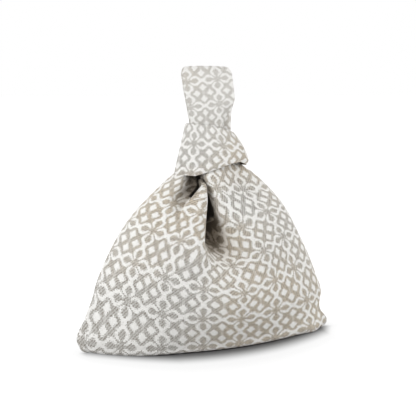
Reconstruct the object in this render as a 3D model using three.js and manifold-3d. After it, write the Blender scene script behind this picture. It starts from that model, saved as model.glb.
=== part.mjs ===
// A small knot bag of patterned cloth: a lined body gathered to a neck, a long strap that stands up
// as a wrist loop, and a short strap that wraps the neck as a collar and holds the bag shut.
// Millimetres, +Z up, the front faces -Y and the bag stands on z = 0.
import * as THREE from 'three';
import { mergeVertices } from 'three/addons/utils/BufferGeometryUtils.js';
import Module from 'manifold-3d';

// Body
const BODY_WIDTH = 268;
const BODY_DEPTH = 106;
const BASE_DEPTH = 78;
const BELLY_HEIGHT = 55;
const NECK_HEIGHT = 194;
const NECK_WIDTH = 54;
const NECK_DEPTH = 38;
const NECK_SHIFT = 5.5;
const DOME_ROUNDNESS = 1.4;
const DOME_FULLNESS = 0.78;
const LEAN_ROUNDNESS = 1.8;
const LEAN_FULLNESS = 0.9;
const CORNER_PINCH = 0.9;
const PINCH_HEIGHT = 155;

// Pinched bottom corners
const EAR_REACH = 10;
const EAR_MIDDLE = 16;
const EAR_HALF_HEIGHT = 24;

// Openings at the top: the neckline slit front and back, and the armhole at each side
const SLIT_WIDTH = 11;
const SLIT_TOP_WIDTH = 7;
const SLIT_DROP = 64;
const SLIT_OFFSET = -9.5;
const ARMHOLE_WIDTH = 16;
const ARMHOLE_TOP_WIDTH = 9;
const ARMHOLE_DROP = 66;
const ARMHOLE_SET_BACK = 12;
const DROP_WIDEST = 0.42;
const DROP_TIP_FULLNESS = 0.35;
const DROP_TOP_FULLNESS = 0.6;

// Folds that fall from the neckline
const FOLD_DEPTH = 0.34;
const FOLD_HALF_WIDTH = 17;
const FOLD_LENGTH = 112;

// Cloth
const CLOTH_THICKNESS = 1.6;
const LINING_THICKNESS = 0.9;
const STRAP_THICKNESS = 2.4;
const CLEARANCE = 0.3;

// Straps
const LONG_STRAP_WIDTH = 54;
const LOOP_RISE = 102;
const LOOP_SHIFT = -1.5;
const LOOP_HALF_GAP = 9;
const LOOP_CORNER = 7;
const LOOP_CORNER_SPREAD = 2.5;
const LOOP_ROUNDNESS = 0.3;
const LOOP_FLATTENING = 1.4;
const LOOP_SPREADING = 1.6;
const GATHERED_WIDTH = 45;
const GATHERED_HALF_GAP = 10.2;
const GATHERED_ROUNDNESS = 0.9;
const FOOT_TUCK = 0.96;
const NECK_TAPER = 0.62;
const NECK_TAPER_HEIGHT = 0.4;
const COLLAR_WIDTH = 46;
const COLLAR_HEM_DROP = 8;
const COLLAR_HEM_TILT = 6;
const COLLAR_HEM_EASE = 1.5;
const COLLAR_TOP_EASE = 0.7;
const COLLAR_TOP_TILT = 2;
const COLLAR_SQUARENESS = 0.85;

// Side profile of the loop above the collar: share of its half gap, share of its height
const LOOP_PROFILE = [[1, 0.45], [0.92, 0.8], [0.52, 0.965]];

// Finish
const CLOTH_ROUGHNESS = 0.9;
const LINING_ROUGHNESS = 0.95;

// Mesh fineness
const STEPS_AROUND = 52;
const LEVELS = 18;
const LEVEL_CROWDING = 1.15;
const COLLAR_STEPS = 48;
const COLLAR_LEVELS = 5;
const STRAP_STEPS_ACROSS = 8;
const STRAP_STEPS_ALONG = 30;
const DROP_STEPS = 6;
const SLOPE_STEP = 1e-3;
const WELD_DISTANCE = 1e-4;

const clothColour = new THREE.Color(0.72, 0.7, 0.65);
const liningColour = new THREE.Color(0.16, 0.14, 0.11);

const wasm = await Module();
wasm.setup();

const clamp01 = (value) => Math.min(1, Math.max(0, value));
const mix = (from, to, share) => from + (to - from) * share;
const smooth = (value) => clamp01(value) ** 2 * (3 - 2 * clamp01(value));
const signedPower = (value, power) => Math.sign(value) * Math.abs(value) ** power;

// Half the body's width at a height: a dome from the base corners to the neck, with an ear low down
function halfWidthAt(z) {
  const earTop = EAR_MIDDLE + EAR_HALF_HEIGHT;
  const rise = clamp01((z - earTop) / (NECK_HEIGHT - earTop));
  const dome = (1 - rise ** DOME_ROUNDNESS) ** DOME_FULLNESS;
  const ear = Math.cos((Math.PI / 2) * Math.min(1, Math.abs(z - EAR_MIDDLE) / EAR_HALF_HEIGHT)) ** 2;
  return mix(NECK_WIDTH, BODY_WIDTH, dome) / 2 + EAR_REACH * ear;
}

// Half the body's depth at a height: the belly overhangs the base, then leans in to the neck
function halfDepthAt(z) {
  if (z < BELLY_HEIGHT) {
    return mix(BASE_DEPTH, BODY_DEPTH, Math.sin((Math.PI / 2) * (z / BELLY_HEIGHT))) / 2;
  }
  const rise = clamp01((z - BELLY_HEIGHT) / (NECK_HEIGHT - BELLY_HEIGHT));
  return mix(NECK_DEPTH, BODY_DEPTH, (1 - rise ** LEAN_ROUNDNESS) ** LEAN_FULLNESS) / 2;
}

const shiftAt = (z) => NECK_SHIFT * smooth(z / NECK_HEIGHT);

// A point of the body's section at a height and an angle, moved in by a layer's inset, with or without
// the folds that fall from the neckline
function bodyPoint(z, angle, inset, foldDepth = FOLD_DEPTH) {
  const height = Math.min(z, NECK_HEIGHT);
  const pinch = 1 + CORNER_PINCH * (1 - smooth(height / PINCH_HEIGHT));
  const tipInset = inset * pinch;
  const x = (halfWidthAt(height) - tipInset) * Math.sin(angle);
  const depth = (halfDepthAt(height) - inset) * signedPower(Math.cos(angle), pinch);
  const fall = smooth(1 - (NECK_HEIGHT - height) / FOLD_LENGTH);
  const away = (x - SLIT_OFFSET) / FOLD_HALF_WIDTH;
  const fold = 1 - foldDepth * fall * Math.exp(-away * away);
  return new THREE.Vector3(x + shiftAt(height), -depth * fold, z);
}

// Grid of rows turned into an indexed triangle list; each row closes on itself when it is a ring
function gridFaces(rows, columns, first, ring, flip) {
  const faces = [];
  const spans = ring ? columns : columns - 1;
  for (let row = 0; row < rows - 1; row += 1) {
    for (let column = 0; column < spans; column += 1) {
      const a = first + row * columns + column;
      const b = first + row * columns + ((column + 1) % columns);
      const c = b + columns;
      const d = a + columns;
      faces.push(...(flip ? [a, d, c, a, c, b] : [a, b, c, a, c, d]));
    }
  }
  return faces;
}

function indexedGeometry(points, faces) {
  const geometry = new THREE.BufferGeometry();
  geometry.setAttribute('position', new THREE.Float32BufferAttribute(points.flatMap((p) => p.toArray()), 3));
  geometry.setIndex(faces);
  return geometry;
}

// Closed loft through rings of points, with a flat fan on its first and last ring
function loft(rings) {
  const count = rings[0].length;
  const points = rings.flat();
  const faces = gridFaces(rings.length, count, 0, true, false);
  [0, rings.length - 1].forEach((ringIndex) => {
    const centre = new THREE.Vector3();
    rings[ringIndex].forEach((point) => centre.addScaledVector(point, 1 / count));
    const hub = points.push(centre) - 1;
    for (let i = 0; i < count; i += 1) {
      const a = ringIndex * count + i;
      const b = ringIndex * count + ((i + 1) % count);
      faces.push(...(ringIndex === 0 ? [hub, b, a] : [hub, a, b]));
    }
  });
  return indexedGeometry(points, faces);
}

// Cloth of even thickness laid to both sides of a surface given over a grid of (along, across)
function clothSheet(surface, rows, columns, thickness, ring) {
  const offsetPoint = (along, across, side) => {
    const low = (value) => Math.max(0, value - SLOPE_STEP);
    const high = (value) => Math.min(1, value + SLOPE_STEP);
    const upward = surface(high(along), across).sub(surface(low(along), across));
    const acrossFrom = ring ? across - SLOPE_STEP : low(across);
    const acrossTo = ring ? across + SLOPE_STEP : high(across);
    const sideways = surface(along, acrossTo).sub(surface(along, acrossFrom));
    const normal = sideways.cross(upward).normalize();
    return surface(along, across).addScaledVector(normal, side * thickness / 2);
  };
  const points = [];
  [1, -1].forEach((side) => {
    for (let row = 0; row < rows; row += 1) {
      for (let column = 0; column < columns; column += 1) {
        const across = column / (ring ? columns : columns - 1);
        points.push(offsetPoint(row / (rows - 1), across, side));
      }
    }
  });
  const inner = rows * columns;
  const faces = gridFaces(rows, columns, 0, ring, false).concat(gridFaces(rows, columns, inner, ring, true));
  const rim = (a, b) => faces.push(a, b, b + inner, a, b + inner, a + inner);
  const spans = ring ? columns : columns - 1;
  for (let column = 0; column < spans; column += 1) {
    const next = (column + 1) % columns;
    rim(next, column);
    rim((rows - 1) * columns + column, (rows - 1) * columns + next);
  }
  for (let row = 0; !ring && row < rows - 1; row += 1) {
    rim(row * columns, (row + 1) * columns);
    rim((row + 2) * columns - 1, (row + 1) * columns - 1);
  }
  return indexedGeometry(points, faces);
}

function toSolid(geometry) {
  const merged = geometry.clone();
  merged.deleteAttribute('normal');
  merged.deleteAttribute('uv');
  const welded = mergeVertices(merged, WELD_DISTANCE);
  return new wasm.Manifold(new wasm.Mesh({
    numProp: 3,
    vertProperties: new Float32Array(welded.attributes.position.array),
    triVerts: new Uint32Array(welded.index.array),
  }));
}

function toGeometry(solid) {
  const mesh = solid.getMesh();
  const geometry = new THREE.BufferGeometry();
  geometry.setAttribute('position', new THREE.BufferAttribute(new Float32Array(mesh.vertProperties), 3));
  geometry.setIndex(new THREE.BufferAttribute(new Uint32Array(mesh.triVerts), 1));
  geometry.computeVertexNormals();
  return geometry;
}

// Solid inside the body's skin, moved in by an inset, from a floor height to a top height
function bodySolid(inset, floor, top) {
  const rings = [];
  for (let level = 0; level <= LEVELS; level += 1) {
    const share = level / LEVELS;
    const z = mix(floor, NECK_HEIGHT, share ** LEVEL_CROWDING);
    rings.push(Array.from({ length: STEPS_AROUND }, (_, i) => (
      bodyPoint(z, (2 * Math.PI * i) / STEPS_AROUND, inset))));
  }
  if (top > NECK_HEIGHT) {
    rings.push(rings[LEVELS].map((point) => point.clone().setZ(top)));
  }
  return toSolid(loft(rings));
}

// Drop-shaped opening, pointed below and narrowing again at the neck, as a long prism
function dropPrism(width, topWidth, drop, length) {
  const bottom = NECK_HEIGHT - drop;
  const top = NECK_HEIGHT + CLEARANCE;
  const widest = NECK_HEIGHT - drop * DROP_WIDEST;
  const shape = new THREE.Shape();
  shape.moveTo(0, bottom);
  const belly = mix(bottom, widest, DROP_TIP_FULLNESS);
  const shoulder = mix(widest, top, DROP_TOP_FULLNESS);
  shape.quadraticCurveTo(width / 2, belly, width / 2, widest);
  shape.quadraticCurveTo(width / 2, shoulder, topWidth / 2, top);
  shape.lineTo(-topWidth / 2, top);
  shape.quadraticCurveTo(-width / 2, shoulder, -width / 2, widest);
  shape.quadraticCurveTo(-width / 2, belly, 0, bottom);
  const prism = new THREE.ExtrudeGeometry(shape, {
    depth: length,
    bevelEnabled: false,
    curveSegments: DROP_STEPS,
  });
  prism.translate(0, 0, -length / 2);
  prism.rotateX(Math.PI / 2);
  return prism;
}

function bodyOpenings() {
  const reach = 2 * Math.max(BODY_WIDTH, BODY_DEPTH);
  const slit = dropPrism(SLIT_WIDTH, SLIT_TOP_WIDTH, SLIT_DROP, reach);
  slit.translate(NECK_SHIFT + SLIT_OFFSET, 0, 0);
  const openings = [slit];
  [-1, 1].forEach((side) => {
    const armhole = dropPrism(ARMHOLE_WIDTH, ARMHOLE_TOP_WIDTH, ARMHOLE_DROP, reach);
    armhole.rotateZ(Math.PI / 2);
    armhole.translate(NECK_SHIFT + side * (reach + NECK_WIDTH) / 2, ARMHOLE_SET_BACK, 0);
    openings.push(armhole);
  });
  return openings.map(toSolid).reduce((joined, opening) => joined.add(opening));
}

// Everything to one side of the seam plane, less half the seam's clearance
function sideOfSeam(side) {
  const reach = 2 * Math.max(BODY_WIDTH, NECK_HEIGHT);
  const half = new THREE.BoxGeometry(reach, reach, reach);
  half.translate(0, side * (reach / 2 + CLEARANCE / 2), 0);
  return toSolid(half);
}

// One layer of the body as a shell, open at the neck
function bodyLayer(inset, thickness) {
  const outside = bodySolid(inset, inset, NECK_HEIGHT);
  const inside = bodySolid(inset + thickness, inset + thickness, NECK_HEIGHT + thickness);
  return outside.subtract(inside).subtract(bodyOpenings());
}

// Heights and wall that the straps take from the body
const LOOP_TOP = NECK_HEIGHT + LOOP_RISE;
const WALL = CLOTH_THICKNESS + CLEARANCE + LINING_THICKNESS;
const COLLAR_HEM = NECK_HEIGHT - COLLAR_HEM_DROP;
const COLLAR_TOP = COLLAR_HEM + COLLAR_WIDTH;

// Middle line of the long strap: up from the neck in front, over the top and down behind
function longStrapPath() {
  const foot = NECK_HEIGHT + 2 * CLEARANCE;
  const half = [
    [(NECK_DEPTH - WALL) / 2 * FOOT_TUCK, foot],
    [mix(NECK_DEPTH / 2, GATHERED_HALF_GAP, NECK_TAPER), mix(foot, COLLAR_TOP, NECK_TAPER_HEIGHT)],
    [GATHERED_HALF_GAP, COLLAR_TOP],
    ...LOOP_PROFILE.map(([gap, height]) => [LOOP_HALF_GAP * gap, mix(COLLAR_TOP, LOOP_TOP, height)]),
  ].map(([gap, z]) => new THREE.Vector3(0, -gap, z));
  const back = half.map((point) => new THREE.Vector3(0, -point.y, point.z)).reverse();
  const crown = new THREE.Vector3(0, 0, LOOP_TOP - STRAP_THICKNESS / 2);
  return new THREE.CatmullRomCurve3([...half, crown, ...back], false, 'centripetal');
}

const strapPath = longStrapPath();

// Half the long strap's width at a height: full in the loop, gathered where the collar holds it
function strapHalfWidthAt(z) {
  const rise = (z - COLLAR_TOP) / (LOOP_TOP - COLLAR_TOP);
  return mix(GATHERED_WIDTH, LONG_STRAP_WIDTH, smooth(rise * LOOP_SPREADING)) / 2;
}

const strapShiftAt = (z) => mix(NECK_SHIFT, LOOP_SHIFT, smooth((z - NECK_HEIGHT) / LOOP_RISE));

function longStrapSurface(along, across) {
  const spine = strapPath.getPointAt(along);
  const c = 2 * across - 1;
  const flat = smooth((spine.z - COLLAR_TOP) / (LOOP_TOP - COLLAR_TOP) * LOOP_FLATTENING);
  const crown = smooth(1 - (LOOP_TOP - spine.z) / (LOOP_CORNER_SPREAD * LOOP_CORNER));
  const roundness = mix(GATHERED_ROUNDNESS, LOOP_ROUNDNESS, flat);
  return new THREE.Vector3(
    strapShiftAt(spine.z) + strapHalfWidthAt(spine.z) * c,
    spine.y * Math.sqrt(1 - roundness * c * c),
    spine.z - LOOP_CORNER * crown * c ** 4,
  );
}

// Short strap: a flaring collar from the gathered long strap down over the body's shoulders
function collarSurface(along, across) {
  const angle = 2 * Math.PI * across;
  const side = Math.sin(angle);
  const seat = STRAP_THICKNESS / 2 + CLEARANCE;
  const hemHeight = COLLAR_HEM + COLLAR_HEM_TILT * (side + 1) / 2;
  const hem = bodyPoint(hemHeight, angle, -(seat + COLLAR_HEM_EASE), 0);
  const standOff = STRAP_THICKNESS / 2 + seat + COLLAR_TOP_EASE;
  const top = new THREE.Vector3(
    strapShiftAt(COLLAR_TOP) + (GATHERED_WIDTH / 2 + standOff) * signedPower(side, COLLAR_SQUARENESS),
    -(GATHERED_HALF_GAP + standOff) * signedPower(Math.cos(angle), COLLAR_SQUARENESS),
    COLLAR_TOP - COLLAR_TOP_TILT * side,
  );
  return hem.lerp(top, along);
}

const bag = new THREE.Group();

function addPiece(name, geometry, colour, roughness) {
  const material = new THREE.MeshStandardMaterial({ color: colour, roughness, metalness: 0 });
  const piece = new THREE.Mesh(geometry, material);
  piece.name = name;
  bag.add(piece);
}

const outerCloth = bodyLayer(0, CLOTH_THICKNESS);
const liningCloth = bodyLayer(CLOTH_THICKNESS + CLEARANCE, LINING_THICKNESS);
[['front', -1], ['back', 1]].forEach(([word, side]) => {
  const half = sideOfSeam(side);
  addPiece(`${word}_panel`, toGeometry(outerCloth.intersect(half)), clothColour, CLOTH_ROUGHNESS);
  addPiece(`${word}_lining`, toGeometry(liningCloth.intersect(half)), liningColour, LINING_ROUGHNESS);
});
addPiece('long_strap', clothSheet(longStrapSurface, STRAP_STEPS_ALONG + 1, STRAP_STEPS_ACROSS + 1,
  STRAP_THICKNESS, false), clothColour, CLOTH_ROUGHNESS);
addPiece('short_strap', clothSheet(collarSurface, COLLAR_LEVELS + 1, COLLAR_STEPS, STRAP_THICKNESS, true),
  clothColour, CLOTH_ROUGHNESS);

export default bag;
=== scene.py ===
import math

import bmesh
import bpy
import numpy as np
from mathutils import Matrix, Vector


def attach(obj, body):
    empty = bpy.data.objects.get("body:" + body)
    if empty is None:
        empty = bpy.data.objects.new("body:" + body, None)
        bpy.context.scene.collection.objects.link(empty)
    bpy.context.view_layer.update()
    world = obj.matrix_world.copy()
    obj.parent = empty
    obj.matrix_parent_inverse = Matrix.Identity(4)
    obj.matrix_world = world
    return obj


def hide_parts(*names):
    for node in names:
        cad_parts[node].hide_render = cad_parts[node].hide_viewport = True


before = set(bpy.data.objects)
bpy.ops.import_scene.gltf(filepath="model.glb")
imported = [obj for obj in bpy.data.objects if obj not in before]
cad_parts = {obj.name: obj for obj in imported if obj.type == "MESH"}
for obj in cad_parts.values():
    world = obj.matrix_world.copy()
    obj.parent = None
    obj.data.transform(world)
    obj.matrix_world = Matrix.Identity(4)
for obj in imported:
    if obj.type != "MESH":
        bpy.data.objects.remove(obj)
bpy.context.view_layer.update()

# Sides, as signs: left and right along X, front and back along Y.
LEFT, RIGHT = -1, 1
FRONT, BACK = -1, 1

# Body outline, in millimetres, as in the CAD model: a rounded dome gathered into a narrow neck.
BODY_WIDTH = 268.0
BODY_DEPTH = 106.0
BASE_DEPTH = 78.0
BELLY_HEIGHT = 55.0
NECK_HEIGHT = 194.0
PANEL_TOP = 206.0
NECK_WIDTH = 54.0
NECK_DEPTH = 38.0
NECK_SHIFT = 5.5
DOME_ROUNDNESS = 1.4
DOME_FULLNESS = 0.78
LEAN_ROUNDNESS = 1.8
LEAN_FULLNESS = 0.9
CORNER_PINCH = 0.9
PINCH_HEIGHT = 155.0
EAR_TOP = 40.0

# The two lower corners stand out as soft ears: reach, middle height, half height.
LEFT_EAR = (10.0, 16.0, 24.0)
RIGHT_EAR = (11.5, 8.0, 18.0)

# Cloth bulges past the plain dome: reach, middle height, spread.
LEFT_BULGES = ((3.6, 124.0, 36.0), (-2.2, 57.0, 14.0), (1.8, 146.0, 24.0), (1.6, 34.0, 9.0))
RIGHT_BULGES = ((-1.3, 118.0, 22.0), (2.6, 148.0, 36.0), (2.6, 46.0, 15.0))

# Bottom edge: the cloth rolls under over this radius and meets the other panel below.
ROLL_RADIUS = 7.0
ROLL_STEPS = 8
BASE_STEPS = 18
BASE_LIFT = 0.8
CORNER_RADIUS = 9.0
CORNER_FROM = 0.8

# Rows of both panels from the top down: the foot of each band of heights and its number of rows.
ROW_BANDS = ((120.0, 93), (20.0, 53), (ROLL_RADIUS, 11))

# Fold lines are (height, value) knots from the neck down, eased over this much height.
KNOT_EASE = 3.0
KNOT_SAMPLES = 7

# Hollow: the dark fold left of the pleat, with a slope into it that tucks behind the pleat.
HOLLOW_EDGE = ((194, -12.6), (186, -12.6), (180, -12.4), (178, -13.0), (170.5, -21.0), (162.7, -28.8),
               (157.9, -34.3), (148, -40.0), (120, -44.0), (0, -46.0))
HOLLOW_DEPTH = ((194, 24), (186, 26), (179, 26), (172, 25), (166, 21.5), (160, 15.5), (155, 9.5),
                (150, 5), (144, 2), (138, 0), (0, 0))
HOLLOW_SPREAD = ((194, 28), (186, 34), (179, 37), (170, 36), (160, 30), (150, 24), (0, 18))
HOLLOW_OPEN = ((194, 2), (182, 1.8), (176, 1.6), (170, 1.3), (164, 1.0), (160, 1.0), (0, 1.0))
HOLLOW_END = 161.0
HOLLOW_TUCK = 0.40
TUCK_START = -0.5
SLOPE_EASE = 1.2
SHOULDER_LEAST = 2.0

# Pleat: the upright fold between the hollow and the slit. Its right edge is the ridge.
RIDGE = ((194, -12), (186, -12), (179, -10.6), (172, -9.5), (159.5, -10.6), (144, -13.8), (129, -16.2),
         (111, -16.5), (91, -17), (60, -17), (0, -18))
RIDGE_TUCK = ((206, 2.4), (122, 2.4), (114, 0), (108, -5), (102, -10), (94, -14), (80, -17), (0, -18))
PLEAT_LEAST = 0.9
PLEAT_CREST = 4.0
CREST_ROUND = 0.7
CREST_FULL = 12.0
CREST_DROP = 1.8
CREST_DROP_FROM = 0.6
PLEAT_EDGE = 2.5
EDGE_FULL = 8.0
EDGE_SHARE = 0.5
PLEAT_END = 177.5
PLEAT_TOP = 175.0
PLEAT_FALL = 6.0

# Slit: the opening right of the ridge. Its right flap rolls in above, and it runs out below as a valley.
SLIT_DEPTH = ((194, 20), (186, 22), (179, 25), (172, 28), (160, 33), (148, 36), (137, 34), (130, 31),
              (124, 31), (118, 28), (112, 22), (104, 14), (96, 7.5), (88, 3.4), (78, 0.8), (68, 0), (0, 0))
SLIT_OPEN = ((194, 1.6), (186, 1.6), (179, 2.4), (172, 4.2), (160, 8.6), (148, 13.6), (140, 16.6),
             (134, 18), (124, 18.6), (112, 19), (100, 20), (88, 22), (0, 22))
SLIT_END = 122.0
SLIT_TAPER = 18.0
LIP_SHARE = 0.36
FLOOR_SHARE = 0.6
VALLEY_BRIM = ((138, 12), (130, 18), (122, 24), (112, 30), (100, 34), (88, 38), (70, 42), (0, 44))
FLAP_SOFT = ((194, 5), (179, 6), (160, 7), (148, 8), (0, 8))
FLAP_TURN = 14.0
TURN_FROM = 135.0
TURN_SPAN = 11.0

# Columns of the front panel, counted along a row from the left seam to the right one.
SHOULDER_COLUMNS = 48
SLOPE_COLUMNS = 14
MOUTH_COLUMNS = 8
PLEAT_COLUMNS = 31
LIP_COLUMNS = 4
SLIT_COLUMNS = 14
FLAP_COLUMNS = 24
FLANK_COLUMNS = 56
MOUTH_COLUMN = SHOULDER_COLUMNS + SLOPE_COLUMNS - 1
PLEAT_COLUMN = SHOULDER_COLUMNS + SLOPE_COLUMNS + MOUTH_COLUMNS
RIDGE_COLUMN = PLEAT_COLUMN + PLEAT_COLUMNS - 1
SLIT_COLUMN = RIDGE_COLUMN + LIP_COLUMNS
VERGE_COLUMN = SLIT_COLUMN + SLIT_COLUMNS

# The folds' edges stay crisp above this height and are rounded off below it.
CRISP_FROM = 104.0
CRISP_SPAN = 28.0
CRISP_HOLD = 0.8
RELAX_SHARE = 0.5
PANEL_PASSES = 3
SOFT_PASSES = 40
LINING_PASSES = 2

# Painted shade in the folds: how deep under the plain hull the painted shade of a fold, and then the
# darker painted shade of its floor, begins and is full.
PAINTED_SHADE_DEPTH = ((2.0, 25.0), (23.0, 35.0))

# Openings of the back panel: a neck slit in a shallow valley and one armhole a side.
BACK_SLIT = ((194, 1.6), (180, 2.0), (160, 2.2), (142, 1.8), (130, 0.8), (0, 0.8))
BACK_VALLEY = ((194, 13), (160, 14), (130, 9), (100, 3), (80, 0), (0, 0))
VALLEY_REACH = (30.0, 16.0)
VALLEY_FROM = 90.0
VALLEY_SPAN = 100.0
SLIT_X = -4.0
SLIT_FOOT = 130.0
ARMHOLE = ((194, 9), (172, 13), (156, 15.5), (142, 11), (133, 5), (128, 0.8), (0, 0.8))
ARMHOLE_MIDDLE = 12.0
ARMHOLE_LIMITS = (0.42, 0.86)
ARMHOLE_FOOT = 128.0

# Columns of the back panel, counted in faces, and the faces that its openings take.
BACK_SIDE = 11
BACK_HOLE = 7
BACK_MIDDLE = 55
BACK_GAP = 6
LEFT_HOLE = (BACK_SIDE, BACK_SIDE + BACK_HOLE)
MIDDLE_SLIT = (LEFT_HOLE[1] + BACK_MIDDLE, LEFT_HOLE[1] + BACK_MIDDLE + BACK_GAP)
RIGHT_HOLE = (MIDDLE_SLIT[1] + BACK_MIDDLE, MIDDLE_SLIT[1] + BACK_MIDDLE + BACK_HOLE)

# Slack waves of the cloth: pairs of crossing waves as wavelength across, wavelength up, share of phase.
WAVES_FROM = 20.0
WAVES_SPAN = 60.0
WIDE_HEIGHT = 0.9
WIDE_WAVES = ((21.0, 37.0, 1.0), (-55.0, 26.0, 1.7))
FINE_HEIGHT = 0.35
FINE_WAVES = ((9.0, -23.0, 2.0), (31.0, 13.0, 0.0))
FRONT_PHASE = 0.4
BACK_PHASE = 2.1
SLACK_DEPTH = 14.0
LEAST_DEPTH = 1.5

# Groove of the left ear's seam, and the crease above the rolled lower edge at the right.
GROOVE_PLACE = 7.5
GROOVE_WIDTH = 1.9
GROOVE_DEPTH = 2.6
GROOVE_TOP = 28.0
GROOVE_FADE = 20.0
CREASE_HEIGHT = 11.5
CREASE_WIDTH = 1.8
CREASE_DEPTH = 1.6
CREASE_FROM = 0.0
CREASE_FADE = 40.0
CREASE_FLOOR = 0.3

# Soft dents and swells of the front panel: x, height, reach across, reach up, amount outward.
FRONT_SWELLS = (
    (52.0, 104.0, 16.0, 12.0, 2.6),
    (34.0, 92.0, 14.0, 22.0, -3.0),
    (78.0, 88.0, 20.0, 20.0, -2.4),
    (-60.0, 100.0, 30.0, 40.0, 2.0),
    (20.0, 60.0, 22.0, 16.0, 1.4),
    (24.0, 184.0, 18.0, 24.0, -7.0),
    (46.0, 168.0, 18.0, 22.0, -4.0),
    (-84.0, 4.0, 30.0, 26.0, 6.0),
    (124.0, 6.0, 16.0, 16.0, 6.0),
)

# Cloth thickness, the lining's place inside its panel, and the pattern's cells across and down.
CLOTH = 1.3
LINING = 0.7
LINING_GAP = 2.6
LINING_LEAST = 0.4
CELL = 41.0
ROW_BELOW = 34.0
BACK_CELL = (CELL, 38.0)
STRAP_CELL = (32.6, 26.7)
COLLAR_CELL = (33.0, 31.0)

# Pattern columns on the front panel: where each row of the pattern crosses them, as (height, x).
LEFT_COLUMNS = (
    (0, ((13.6, -139.0), (71.6, -126.0), (110.0, -112.0), (139.0, -92.0), (163.0, -66.0))),
    (1, ((12.0, -102.9), (61.0, -95.8), (99.6, -87.4), (131.4, -68.3), (157.0, -43.6))),
    (2, ((10.0, -62.8), (47.7, -63.3), (85.6, -60.4), (122.0, -42.8), (149.0, -21.5))),
    (3, ((7.5, -19.4), (40.8, -22.4), (71.4, -21.4), (106.0, -16.3), (136.0, 8.0))),
)
RIGHT_COLUMNS = (
    (4, ((7.0, 21.0), (36.5, 19.3), (64.4, 23.0), (93.6, 10.3), (107.0, 2.5), (146.0, -36.0))),
    (5, ((6.0, 66.0), (39.6, 62.4), (72.8, 61.5), (107.3, 47.4), (131.4, 23.1), (172.0, 1.3),
         (205.0, -8.0))),
    (6, ((8.0, 116.0), (40.2, 109.6), (81.7, 87.6), (117.2, 74.1), (144.6, 55.7), (168.3, 31.4),
         (198.0, 22.0))),
)

# Above these heights the column beside the slit leaves its knots and keeps one cell from its neighbour.
LEFT_FREE = 98.0
RIGHT_FREE = 122.0
FREE_SPAN = 16.0
FREE_LEVEL = 0.7

# Where the left and right columns meet: between the two middle columns below, in the slit above.
GATHER_REACH = 6.0
GATHER_FROM = 96.0
GATHER_SPAN = 14.0
LEAST_BLEND = 4.0

# The pattern is eased where the two meet, between these heights, and hardly anywhere else.
EASED = (80.0, 122.0)
EASED_SPAN = 14.0
EASED_BEFORE = 14
EASED_COLUMNS = 12
EASED_LEAST = 0.004
EASE_SHARE = 0.9
EASE_PASSES = 30

# Collar: the short strap wrapped round the neck, folded flat at its left and rounded at its right.
COLLAR_LEFT = ((0.0, -37.2), (1.0, -25.6))
COLLAR_RIGHT = 44.6
COLLAR_DRAW = 16.8
COLLAR_DRAW_POWER = 1.7
TIP_DRAW = 3.4
TIP_SHARE = 0.16
COLLAR_HEM_DEPTH = 24.0
COLLAR_TOP_DEPTH = 13.5
COLLAR_TAPER = 0.9
COLLAR_THICKNESS = 3.2
COLLAR_EDGE = 0.012
COLLAR_LEFT_PINCH = 1.25
COLLAR_RIGHT_ROUND = 0.62
FRONT_HEM = ((-37, 185.6), (-30, 184.6), (-20, 184.3), (-11.3, 187.0), (-1.6, 190.0), (7.2, 192.8),
             (20.4, 196.3), (30, 197.0), (36, 195.2), (40, 192.8), (46, 191.0))
BACK_HEM = ((-37, 185.6), (-20, 188.0), (0, 191.0), (20, 193.0), (32, 191.6), (46, 191.0))
HEM_TURN = 1.6
COLLAR_TOP = ((-26, 233.6), (-22.8, 236.6), (-7.6, 235.6), (2.2, 233.6), (11, 231.4), (23, 228.0),
              (28, 226.8))
SWELL_HEIGHT = 1.5
SWELL_TURN = 2.2
SWELL_PHASE = 0.6
COLLAR_COLUMNS = 144
COLLAR_EDGE_POINTS = 7
COLLAR_OUTER_STEPS = 26
COLLAR_INNER_STEPS = 13
COLLAR_MIDDLE_ROW = 18
COLLAR_TOP_ROW = COLLAR_EDGE_POINTS + COLLAR_OUTER_STEPS - 1
COLLAR_PATTERN = (0.08, -0.36)

# Wrist loop: the long strap goes up in front, over the top and down behind.
LOOP_TOP = 294.4
LOOP_FOOT = 198.0
LOOP_HALF_GAP = 2.6
LOOP_CORNER = 4.6
LOOP_THICKNESS = 2.6
LOOP_PUFF = 0.35
LOOP_SQUARE = 0.55
LOOP_ROUND = 0.8
LOOP_MIDDLE = ((198, 5.0), (237, 3.4), (254, 2.3), (262, 2.3), (270, 1.0), (284, -0.9), (296, -2.6))
LOOP_HALF = ((198, 20.5), (237, 23.2), (254, 25.2), (262, 26.8), (270, 27.0), (284, 27.2), (290, 27.0),
             (292.5, 25.8), (294.4, 23.4))
LOOP_LEG_POINTS = 52
LOOP_CROWN_STEPS = 14
LOOP_COLUMNS = 96
LOOP_PATTERN = (-0.273, -0.24)
LOOP_PATTERN_HALF = 26.5
LOOP_TILT = 0.10
LOOP_PIVOT = 9.0

# The loop's right edge turns back in front, where it goes into the collar.
LOOP_TURN_TOP = 262.0
LOOP_TURN_SPAN = 30.0
LOOP_TURN_FROM = 0.35
LOOP_TURN_BACK = 11.0
LOOP_TURN_IN = 1.5

# Cut sizes of the sheets in metres, and the area of a dome-shaped cut.
PANEL_FLAT = (0.300, 0.250)
PANEL_AREA = 0.062
LINING_FLAT = (0.294, 0.244)
LINING_AREA = 0.060
COLLAR_FLAT = (0.165, 0.046)
LOOP_FLAT = (0.053, 0.205)

# Camera of the photograph: degrees, millimetres, and millimetres a pixel.
CAMERA_AZIMUTH = -18.6
CAMERA_ELEVATION = 9.2
CAMERA_DISTANCE = 800.0
CAMERA_TARGET = 146.6
CAMERA_SCALE = 1.07
FRAME_PIXELS = 416
SENSOR = 36.0

MILLIMETRES = 1000.0
MERGE = 1e-6


def smooth(x):
    x = np.clip(x, 0.0, 1.0)
    return x * x * (3.0 - 2.0 * x)


def mix(a, b, t):
    return a + (b - a) * t


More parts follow.
